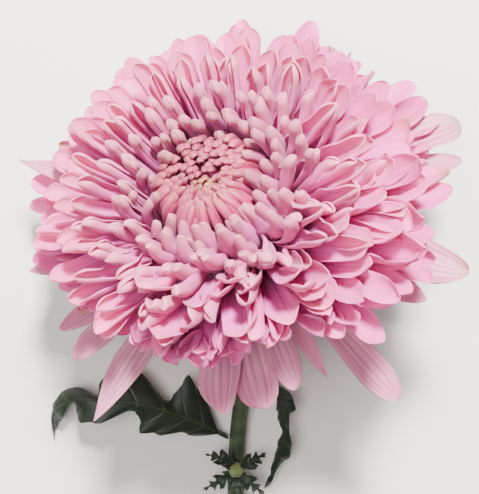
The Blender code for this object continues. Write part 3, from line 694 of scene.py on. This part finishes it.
def blades(form, floor, columns, thickness, crease=0.0, wave=0.0):
    """Upper face, lower face, tip and row places of every blade.

    A point at v across the blade, from -1 to 1, lies at w sin(bv)/b to the side and at
    w (1 - cos(bv))/b towards the inner face, where w is the half width and b the half angle. On a
    closed blade w grows by 5 % from the middle to one rim and shrinks as much to the other.
    """
    points, normal, side = blade_paths(form, floor)
    s = blade_stations(form)
    w, b = blade_arc(s, form)
    v = across_places(columns)[None, None, :, None]
    p, inward, across = (at_stations(grid, s)[:, :, None] for grid in (points, normal, side))
    w = w * (1.0 + 0.05 * v * smooth((b - 2.5) / 0.5))
    upper = p + across * w * np.sin(b * v) / b + inward * w * (1.0 - np.cos(b * v)) / b
    upper = upper + inward * relief(s, v, form, crease, wave)
    local = inward * np.cos(b * v) - across * np.sin(b * v)
    lower = upper - local * thickness * np.sqrt(1.0 - v ** 2)
    tips = points[:, -1]
    keep_between(upper, lower, tips, s)
    return upper, lower[:, :, 1:-1], tips, s


# %% Petals
PETAL_THICKNESS = 0.4 * MM
PETAL_CREASE = 0.20 * MM
PETAL_WAVE = 0.45 * MM
QUILLED_SHARE = 0.30
HANGING_TONE = 0.45
BROWNED_TONE = 0.95
RESTING_HEIGHT = 0.3 * MM
LOW_HEIGHT = 1.6 * MM
HEIGHT_RANGE = 8.0 * MM
GOLDEN_SHARE = 0.618034


def floor_heights(count):
    """Height at which each petal lies down: the resting ones on the surface, the others above it."""
    height = LOW_HEIGHT + HEIGHT_RANGE * ((np.arange(count) * GOLDEN_SHARE) % 1.0) ** 2.0
    height[count - len(RESTING_PETALS):] = RESTING_HEIGHT
    return PETAL_THICKNESS + height


hanging_count = len(HANGING_PETALS) + len(RESTING_PETALS)
petal_tone = np.random.default_rng(3).random(len(petal_form["share"]))
petal_tone[-hanging_count:] = HANGING_TONE
for row in BROWNED_ROWS:
    petal_tone[row - hanging_count] = BROWNED_TONE
petal_floor = floor_heights(len(petal_tone))
quilled = petal_form["share"] < QUILLED_SHARE
for name, chosen, columns in (("quilled_petals", quilled, 13), ("open_petals", ~quilled, 9)):
    form = {term: value[chosen] for term, value in petal_form.items()}
    surfaces = blades(form, petal_floor[chosen], columns, PETAL_THICKNESS, PETAL_CREASE, PETAL_WAVE)
    sheet_object(name, *surfaces, form["share"], petal_tone[chosen], PETAL_SKIN, "petal", ["bloom"])

# %% [markdown]
# ## The heart
#
# In the middle the florets haven't opened. Each stands up and bows inwards over the next, so that the
# heart is a low dome of overlapping gutters that all run to the eye, a little pool of yellow-green
# buds. On the side away from the stem only their blunt ends show, in rows like scales. On the near
# side they arch farther over, and their smooth backs show. They are dusky rose, with painted shade
# that makes them darker towards their roots and at their rims, where they tuck under one another, so
# each stands apart from the next, with tips the colour of apricot. The same blades serve, with a path
# that starts leaning out and ends bent over the middle.

# %% Heart florets
FLORET_COUNT = 176
FLORET_WIDTH = (2.8 * MM, 5.4 * MM)
FLORET_SPREAD = 18.5 * MM
FLORET_THICKNESS = 0.6 * MM
EYE_HEIGHT = 30.5 * MM
NEAR_AZIMUTH = 285.0
# a floor one metre down, out of reach of the blades that don't hang
FAR_FLOOR = -1.0


def heart_florets(count):
    """Form of each incurved floret, from the eye outwards.

    A floret's body stands at a radius that grows with the square root of its number, so that the
    florets are evenly spread, and its tip reaches inwards from there, farther on the near side.
    """
    rng = np.random.default_rng(5)
    q = (np.arange(count) + 0.5) / count
    draw = rng.normal(size=(count, 5)).clip(-2.0, 2.0)
    azimuth = np.arange(count) * GOLDEN_ANGLE + np.radians(4.0) * draw[:, 0]
    near = nearness(azimuth, NEAR_AZIMUTH)
    body_r = FLORET_SPREAD * np.sqrt(q)
    tip_r = body_r * (0.92 - (0.50 + 0.10 * draw[:, 2]) * smooth(near)) + 0.4 * MM * draw[:, 3]
    tip_h = EYE_HEIGHT + 2.8 * MM * smooth(tip_r / (9.0 * MM)) + 0.6 * MM * draw[:, 4]
    root_r = 0.8 * body_r + 1.0 * MM
    root_h = (20.0 - 12.0 * q) * MM
    chord, slope = chord_of(root_r, root_h, tip_r, tip_h)
    bow = np.radians(32.0 + 18.0 * near * np.sqrt(q) + 3.0 * draw[:, 1])
    least, most = FLORET_WIDTH
    return blade_form(
        count,
        azimuth=azimuth, root_r=root_r, root_h=root_h,
        start=slope + bow, end=slope - bow,
        length=chord * (1.0 + bow ** 2 / 6.0),
        width=(least + (most - least) * q ** 0.6) * (1.0 - 0.33 * near + 0.08 * draw[:, 2]),
        hook=np.radians(62.0 - 40.0 * near),
        curl=1.75,
        sway=np.radians(6.0) * draw[:, 4],
        twist=np.radians(8.0) * draw[:, 1],
        point=0.05 + 0.25 * near,
        share=0.90 * q,
    )


# Painted shade: the florets' dusky rose runs darker and deeper magenta towards their roots, and their rims
# take a deep magenta tint, where they tuck under one another.
HEART_SKIN = petal_material(
    "heart_floret_satin",
    [(0.0, "B02C6C"), (0.4, "B83470"), (0.8, "BE4874"), (1.0, "C05C74")],
    [(0.0, "800A46"), (0.5, "A01C5A"), (0.8, "BC3A70"), (0.93, "C25670"), (1.0, "C47068")],
    rim=("940E48", 0.9, 0.06, -0.3), tips=("E4C458", 0.06, 0.0))
floret_form = heart_florets(FLORET_COUNT)
surfaces = blades(floret_form, np.full(FLORET_COUNT, FAR_FLOOR), 9, FLORET_THICKNESS)
tone = np.random.default_rng(4).random(FLORET_COUNT)
sheet_object("heart_florets", *surfaces, floret_form["share"], tone, HEART_SKIN, "heart_floret", ["heart"])

# %% [markdown]
# ## Stem and calyx
#
# The stalk is round with low ribs, a dull green tube about 6 mm thick, painted darker still as shade
# under the bloom. It leaves the flower along its axis, bends in a short neck and lies down. A tube like
# this is a profile carried along a path: a ring of points whose radius has a small wave for the ribs,
# set square to the path at every step.

# %% Helper: a profile carried along a path
def smooth_curve(points, count):
    """Points at even parameters along a smooth curve through the given points."""
    p = np.array(points, float)
    p = np.vstack([2.0 * p[0] - p[1], p, 2.0 * p[-1] - p[-2]])
    t = np.linspace(0.0, len(points) - 1.0, count)
    k = np.minimum(t.astype(int), len(points) - 2)
    u = (t - k)[:, None]
    a, b, c, d = p[k], p[k + 1], p[k + 2], p[k + 3]
    return 0.5 * (2.0 * b + (c - a) * u + (2.0 * a - 5.0 * b + 4.0 * c - d) * u ** 2
                  + (3.0 * b - a - 3.0 * c + d) * u ** 3)


def tube_object(name, path, radius, material, replaces=()):
    """Closed tube along a path. radius has a row for each step and a column for each side."""
    rows, sides = radius.shape
    along = unit(np.gradient(path, axis=0))
    side = unit(np.cross(along, np.array([0.35, 0.1, 1.0])))
    up = np.cross(side, along)
    angle = np.linspace(0.0, 2.0 * math.pi, sides, endpoint=False)[None, :, None]
    ring = path[:, None] + radius[..., None] * (np.cos(angle) * side[:, None] + np.sin(angle) * up[:, None])
    points = np.vstack([ring.reshape(-1, 3), path[:1], path[-1:]])
    grid = np.arange(rows * sides).reshape(rows, sides)
    turned = np.roll(grid, -1, axis=1)
    quads = np.stack([grid[:-1], grid[1:], turned[1:], turned[:-1]], -1).reshape(-1, 4)
    first = np.stack([np.full(sides, rows * sides), grid[0], turned[0]], 1)
    last = np.stack([np.full(sides, rows * sides + 1), turned[-1], grid[-1]], 1)
    mesh = bpy.data.meshes.new(name)
    mesh.from_pydata(points, [], quads.tolist() + first.tolist() + last.tolist())
    add_piece(name, mesh, material, replaces)
    print(name, rows, "rings of", sides)


def turned_solid(name, section, sides, material, replaces=()):
    """A round body on the flower's axis. section holds heights and radii in mm."""
    section = np.array(section) * MM
    path = BLOOM_SEAT + section[:, :1] * OUTWARD
    tube_object(name, path, np.repeat(section[:, 1:], sides, axis=1), material, replaces)


# %% Heart core: the closely packed bases of the florets, seen only in the gaps between their tips
HEART_CORE = (
    (12.0, 14.0),
    (22.0, 14.5),
    (25.5, 12.5),
    (27.2, 8.5),
    (27.6, 3.0),
)
core_skin, core_tree = new_material("heart_core_rose")
flesh = add_node(core_tree, "BsdfPrincipled", {"Base Color": linear("B8326E"), "Roughness": 0.6,
                                               "Subsurface Weight": 0.2, "Subsurface Scale": 1.0 * MM})
finish_skin(core_tree, flesh)
turned_solid("heart_core", HEART_CORE, 48, core_skin)

# %% Green skins
def green_material(name, dark, light, patch_mm, roughness):
    """Leafy skin: two greens in soft patches of a given size, with a fine pebbled surface."""
    material, tree = new_material(name)
    colour = colour_ramp(tree, patches(tree, patch_mm * MM, 4.0), [(0.35, dark), (0.65, light)])
    pebble = patches(tree, 0.7 * MM)
    bump = add_node(tree, "Bump", {"Height": pebble, "Strength": 0.3, "Distance": 0.15 * MM})
    skin = add_node(tree, "BsdfPrincipled", {
        "Base Color": colour, "Roughness": roughness, "IOR": 1.45,
        "Subsurface Weight": 0.1, "Subsurface Radius": (0.3, 0.6, 0.1), "Subsurface Scale": 1.0 * MM,
        "Sheen Weight": 0.2, "Normal": bump.outputs[0]})
    finish_skin(tree, skin)
    return material


# The stalk's two greens are its dull green made darker still, as painted shade under the bloom.
STEM_SKIN = green_material("ribbed_green_stalk", "1A240F", "303E1A", 6.0, 0.6)
BRACT_SKIN = green_material("downy_green_bract", "4C5A2C", "75834A", 3.0, 0.65)

# %% Stem
STEM_RADIUS = 3.0 * MM
STEM_TOP = 13.3 * MM
NECK_END = 22.0 * MM
# in mm from the seat of the petals
STEM_ROUTE = (
    (8.4, -24.0, -22.3),
    (6.6, -38.0, -27.8),
    (3.6, -54.0, -31.2),
    (0.6, -72.0, -33.0),
    (-0.8, -92.0, -33.6),
    (-0.8, -112.0, -33.75),
    (0.0, -140.0, -33.75),
    (2.0, -172.0, -33.75),
)
STEM_RINGS = 180
STEM_SIDES = 48
STEM_RIBS = 8.0
RIB_TURN = 0.8
neck = [-OUTWARD * drop for drop in (STEM_TOP, NECK_END)]
stem_path = smooth_curve(np.vstack([neck, np.array(STEM_ROUTE) * MM]) + BLOOM_SEAT, STEM_RINGS)
around = np.linspace(0.0, 2.0 * math.pi, STEM_SIDES, endpoint=False)[None, :]
turn = RIB_TURN * np.linspace(0.0, 1.0, STEM_RINGS)[:, None]
ribs = 0.965 + 0.035 * np.cos(STEM_RIBS * around + turn)
tube_object("ribbed_stem", stem_path, STEM_RADIUS * ribs, STEM_SKIN, ["stem"])

# %% [markdown]
# ## The calyx
#
# Behind the petals the flower is held by a green cup, covered with three rows of small bracts that
# overlap like roof tiles. Each bract is one of the same blades, short and pointed, rooted in the cup.

# %% Calyx: a cup and its bracts
CALYX_CUP = (
    (0.9, 11.2),
    (-1.5, 11.6),
    (-6.5, 9.5),
    (-11.0, 5.5),
    (-13.0, 3.0),
)
# by row: how many, turned by, radius and height of the roots, first and last angle, length, width
BRACTS = (
    (9, 7, 3.6, -11.6, 76, 46, 8.0, 5.0),
    (13, 4, 6.0, -9.6, 66, 32, 8.0, 5.4),
    (16, 15, 8.9, -6.3, 54, 14, 6.6, 5.4),
)
BRACT_THICKNESS = 0.6 * MM
turned_solid("receptacle_cup", CALYX_CUP, 40, BRACT_SKIN, ["calyx"])
rows = np.array([[k, *row] for row in BRACTS for k in range(row[0])], float)
place, in_row, turned, root_r, root_h, first, last, length, width = rows.T
bract_form = blade_form(
    len(rows),
    azimuth=2.0 * math.pi * place / in_row + np.radians(turned),
    root_r=root_r * MM, root_h=root_h * MM,
    start=np.radians(first), end=np.radians(last),
    length=length * MM, width=width * MM,
    curl=0.55,
    sway=np.radians(6.0) * np.cos(5.0 * place),
    point=0.5,
)
surfaces = blades(bract_form, np.full(len(rows), FAR_FLOOR), 7, BRACT_THICKNESS)
sheet_object("calyx_bracts", *surfaces, bract_form["share"], np.cos(place) ** 2, BRACT_SKIN, "bract")

# %% [markdown]
# ## Leaves
#
# Chrysanthemum leaves are lobed and toothed, dark and dull above, paler below; here the upper face is
# drawn darker still, as painted shade under the bloom. A leaf is a sheet along its midrib. Its half
# width is an envelope with deep notches for the lobes and small ones for the teeth, and its side veins
# sweep forward by 38 degrees, so a point across the leaf also moves towards the tip. That sweep is
# what gives the lobes their forward rake.

# %% Leaf finish
SIDE_VEINS = 10.2


def leaf_veins(tree, across, along):
    """1 on the midrib, 0.8 on thin side veins at even places along the leaf, 0 between them."""
    midrib = ramp(tree, from_middle(tree, across), 0.015, 0.04, 1.0, 0.0)
    beat = compute(tree, "FRACT", compute(tree, "MULTIPLY", along, SIDE_VEINS))
    line = ramp(tree, from_middle(tree, beat), 0.02, 0.09, 0.8, 0.0)
    return compute(tree, "MAXIMUM", midrib, line)


def leaf_material():
    """Dull green blade, its upper face painted darker as shade: paler veins along the midrib and out to the
    lobes, and a paler lower face.
    """
    material, tree = new_material("lobed_leaf_blade")
    across, along, *_, face = sheet_maps(tree)
    spots = patches(tree, 7.0 * MM, 5.0)
    # upper face: a dark green made darker still, as painted shade under the bloom
    above = colour_ramp(tree, spots, [(0.3, "0A1405"), (0.7, "14240B")])
    below = colour_ramp(tree, spots, [(0.3, "5C7146"), (0.7, "74885A")])
    veins = leaf_veins(tree, across, along)
    colour = blend(tree, veins, blend(tree, face, above, below), "203014")
    bump = add_node(tree, "Bump", {"Height": veins, "Strength": 0.5, "Distance": 0.4 * MM}, invert=True)
    skin = add_node(tree, "BsdfPrincipled", {
        "Base Color": colour, "Roughness": 0.5, "IOR": 1.45, "Sheen Weight": 0.1,
        "Normal": bump.outputs[0]})
    finish_skin(tree, skin, colour, 0.15)
    return material


# %% Leaves
# midrib in mm from the seat of the petals, facing, each side's width, taper and phase, and sag
LEAVES = {
    "leaf_left": (
        ((-3.35, -81.0, -32.0), (-12.0, -75.5, -29.0), (-21.0, -70.5, -26.5), (-34.0, -66.0, -24.0),
         (-47.0, -64.0, -23.0), (-58.0, -64.5, -25.0), (-66.0, -71.0, -30.0), (-66.0, -82.0, -35.3)),
        (0.0, 0.25, 1.0), (14.0, 0.3, -0.42), (25.0, 1.0, -0.02), 2.0,
    ),
    "leaf_right": (
        ((4.85, -64.0, -30.6), (9.5, -61.5, -28.0), (14.0, -63.0, -26.5), (16.3, -71.0, -26.0),
         (15.8, -82.0, -28.0), (12.5, -93.0, -31.5), (9.5, -100.0, -35.3)),
        (-0.6, 0.1, 0.8), (5.0, 0.1, 0.30), (6.5, 0.1, 0.05), 1.2,
    ),
}
LEAF_ROWS = 190
LEAF_COLUMNS = 15
LEAF_STALK = 0.06
LEAF_LOBES = 3.4
LEAF_TEETH = 11.0
LEAF_CUT = 0.72
LEAF_WAVE = 1.2 * MM
LEAF_THICKNESS = 0.5 * MM
LEAF_FLOOR = 0.15 * MM
VEIN_SWEEP = math.radians(38.0)


def leaf_half_width(u, width, taper, phase):
    """Width of one side of a leaf at u along its midrib, in mm: deep lobes with small teeth."""
    blade = np.clip((u - LEAF_STALK) / (1.0 - LEAF_STALK), 0.0, 1.0)
    envelope = 0.06 + 0.94 * np.sin(math.pi * blade ** 0.65) ** 0.75
    notch = (0.5 + 0.5 * np.cos(2.0 * math.pi * (LEAF_LOBES * u + phase))) ** 2
    teeth = np.abs(((u * LEAF_TEETH + phase) % 1.0) - 0.5) - 0.25
    cut = 1.0 - LEAF_CUT * notch * np.minimum(blade * 6.0, 1.0) + 0.30 * teeth * (blade > 0.0)
    return width * (1.0 - taper * u) * envelope * cut


def leaf_surface(route, facing, left, right, sag, rows, columns):
    """Upper face, lower face, tip and row places of a leaf whose side veins sweep forward."""
    rib = smooth_curve(np.array(route) * MM + BLOOM_SEAT, rows + 1)
    u = np.linspace(0.0, 1.0, rows + 1)
    along = unit(np.gradient(rib, axis=0))
    across = unit(np.cross(along, unit(np.array(facing, float))))
    normal = np.cross(across, along)
    v = across_places(columns)[None, :, None]
    half = np.where(v[..., 0] < 0.0, leaf_half_width(u, *left)[:, None], leaf_half_width(u, *right)[:, None])
    reach = half[..., None] * MM * v
    wave = (LEAF_WAVE * np.sin(2.0 * math.pi * (LEAF_LOBES * u + left[2])))[:, None, None] * v ** 2
    upper = (rib[:, None] + across[:, None] * reach * math.cos(VEIN_SWEEP)
             + along[:, None] * np.abs(reach) * math.sin(VEIN_SWEEP)
             + normal[:, None] * (wave - sag * MM * v ** 2))
    body = LEAF_THICKNESS * (1.0 + 2.5 * np.clip(1.0 - u / 0.15, 0.0, 1.0))[:, None, None]
    lower = upper - normal[:, None] * body * np.sqrt(1.0 - v ** 2)
    low = np.minimum(upper[..., 2].min(1), lower[..., 2].min(1))
    raised = np.maximum(LEAF_FLOOR - low, 0.0)[:, None, None] * np.array([0.0, 0.0, 1.0])
    upper, lower = upper + raised, lower + raised
    return upper[:-1], lower[:-1, 1:-1], upper[-1, columns // 2] + along[-1] * MM, u[:-1]


def leaf_object(name, leaves, node):
    """One object of several leaf surfaces with the same rows and columns."""
    surfaces = [np.array(part) for part in zip(*leaves)]
    middle = np.full(len(leaves), 0.5)
    sheet_object(name, *surfaces, middle, middle, LEAF_SKIN, "leaf", [node])


LEAF_SKIN = leaf_material()
for node, terms in LEAVES.items():
    leaf_object(node + "_blade", [leaf_surface(*terms, LEAF_ROWS, LEAF_COLUMNS)], node)

# %% [markdown]
# ## The tuft of small leaves
#
# Just under the long leaves a bud has begun to grow in a leaf's axil: a tight tuft of small toothed
# leaves round a knob. Each small leaf is the same leaf surface with a short midrib of three points.

# %% Tuft
TUFT_CENTRE = (-0.8, -91.0, -27.5)
TUFT_LEAVES = (
    ((-5.5, -86.0, -24.5), (-11.0, -84.5, -25.5)),
    ((-6.5, -94.0, -24.5), (-12.0, -98.0, -27.0)),
    ((4.5, -87.0, -24.5), (9.5, -84.5, -26.0)),
    ((5.0, -95.5, -25.0), (9.5, -100.5, -28.0)),
    ((-0.5, -97.0, -23.0), (0.5, -105.0, -23.5)),
)
TUFT_FACING = (0.0, 0.2, 1.0)
TUFT_WIDTH = 3.8
KNOB_AXIS = (0.2, 0.3, 0.93)
KNOB_RADIUS = 2.8 * MM
tuft = []
for k, (bend, end) in enumerate(TUFT_LEAVES):
    half = (TUFT_WIDTH, 0.1, 0.15 * k)
    tuft.append(leaf_surface((TUFT_CENTRE, bend, end), TUFT_FACING, half, half, 0.6, 90, 9))
leaf_object("tuft_leaves", tuft, "leaf_tuft")
turn = np.linspace(0.0, math.pi, 14)
knob_path = np.array(TUFT_CENTRE) * MM + BLOOM_SEAT + np.outer(-np.cos(turn) * KNOB_RADIUS, KNOB_AXIS)
tube_object("tuft_knob", knob_path, np.outer(np.sin(turn) * KNOB_RADIUS, np.ones(24)), BRACT_SKIN)

# %% [markdown]
# ## Floor, light and camera
#
# The flower lies on a plain pale floor. One lamp shines from above the head of the flower, so that
# each petal shades the next as in the photograph. A broad weak lamp and an even grey surround fill the
# shadows. The camera looks down on the flower so that the bloom faces it as in the photograph, with
# the stem running to the lower edge.

# %% Floor: it reaches three metres to each side
floor_skin, floor_tree = new_material("pale_floor")
paint = add_node(floor_tree, "BsdfPrincipled", {"Base Color": linear("D6D3CE"), "Roughness": 0.8})
finish_skin(floor_tree, paint)
plane = bpy.data.meshes.new("floor")
plane.from_pydata([(-3, -3, 0), (3, -3, 0), (3, 3, 0), (-3, 3, 0)], [], [(0, 1, 2, 3)])
plane.materials.append(floor_skin)
add_object("floor", plane)

# %% Lights
from mathutils import Matrix, Vector


def add_lamp(name, direction, distance, size, power):
    """Square lamp that shines on the bloom from a direction."""
    data = bpy.data.lights.new(name, "AREA")
    data.size = size
    data.energy = power
    aim = Vector(direction).normalized()
    turned = aim.to_track_quat("Z", "Y").to_matrix().to_4x4()
    place = Matrix.Translation(Vector(BLOOM_SEAT) + aim * distance)
    add_object(name, data).matrix_world = place @ turned


add_lamp("key_lamp", (0.10, 0.86, 0.90), 1.1, 0.20, 84.0)
add_lamp("fill_lamp", (-0.3, 0.15, 1.0), 1.4, 0.7, 20.0)
world = bpy.data.worlds.new("studio")
world.use_nodes = True
surround = world.node_tree.nodes["Background"].inputs
surround["Color"].default_value = linear("E6E6EA")
surround["Strength"].default_value = 0.44
bpy.context.scene.world = world

# %% Camera
PHOTO_WIDTH = 479
PHOTO_HEIGHT = 494
SEAT_PIXEL = (238.0, 229.0)
CAMERA_DISTANCE = 0.414
FOCAL_PIXELS = 1286.0
BEYOND_VERTICAL = math.radians(9.8)
back = Vector((0.0, math.sin(BEYOND_VERTICAL), math.cos(BEYOND_VERTICAL)))
over = Vector((0.0, math.cos(BEYOND_VERTICAL), -math.sin(BEYOND_VERTICAL)))
right = Vector((1.0, 0.0, 0.0))
shift_x = (SEAT_PIXEL[0] - PHOTO_WIDTH / 2) / FOCAL_PIXELS * CAMERA_DISTANCE
shift_y = (PHOTO_HEIGHT / 2 - SEAT_PIXEL[1]) / FOCAL_PIXELS * CAMERA_DISTANCE
lens = bpy.data.cameras.new("camera")
lens.sensor_fit = "HORIZONTAL"
lens.sensor_width = 36.0
lens.lens = 36.0 * FOCAL_PIXELS / PHOTO_WIDTH
camera = add_object("camera", lens)
eye = Vector(BLOOM_SEAT) + back * CAMERA_DISTANCE - right * shift_x - over * shift_y
camera.matrix_world = Matrix.Translation(eye) @ Matrix((right, over, back)).transposed().to_4x4()
bpy.context.scene.camera = camera

# %% [markdown]
#
# The dressed flower has to stay inside the box of its solids.

# %% Finish
bpy.context.view_layer.update()
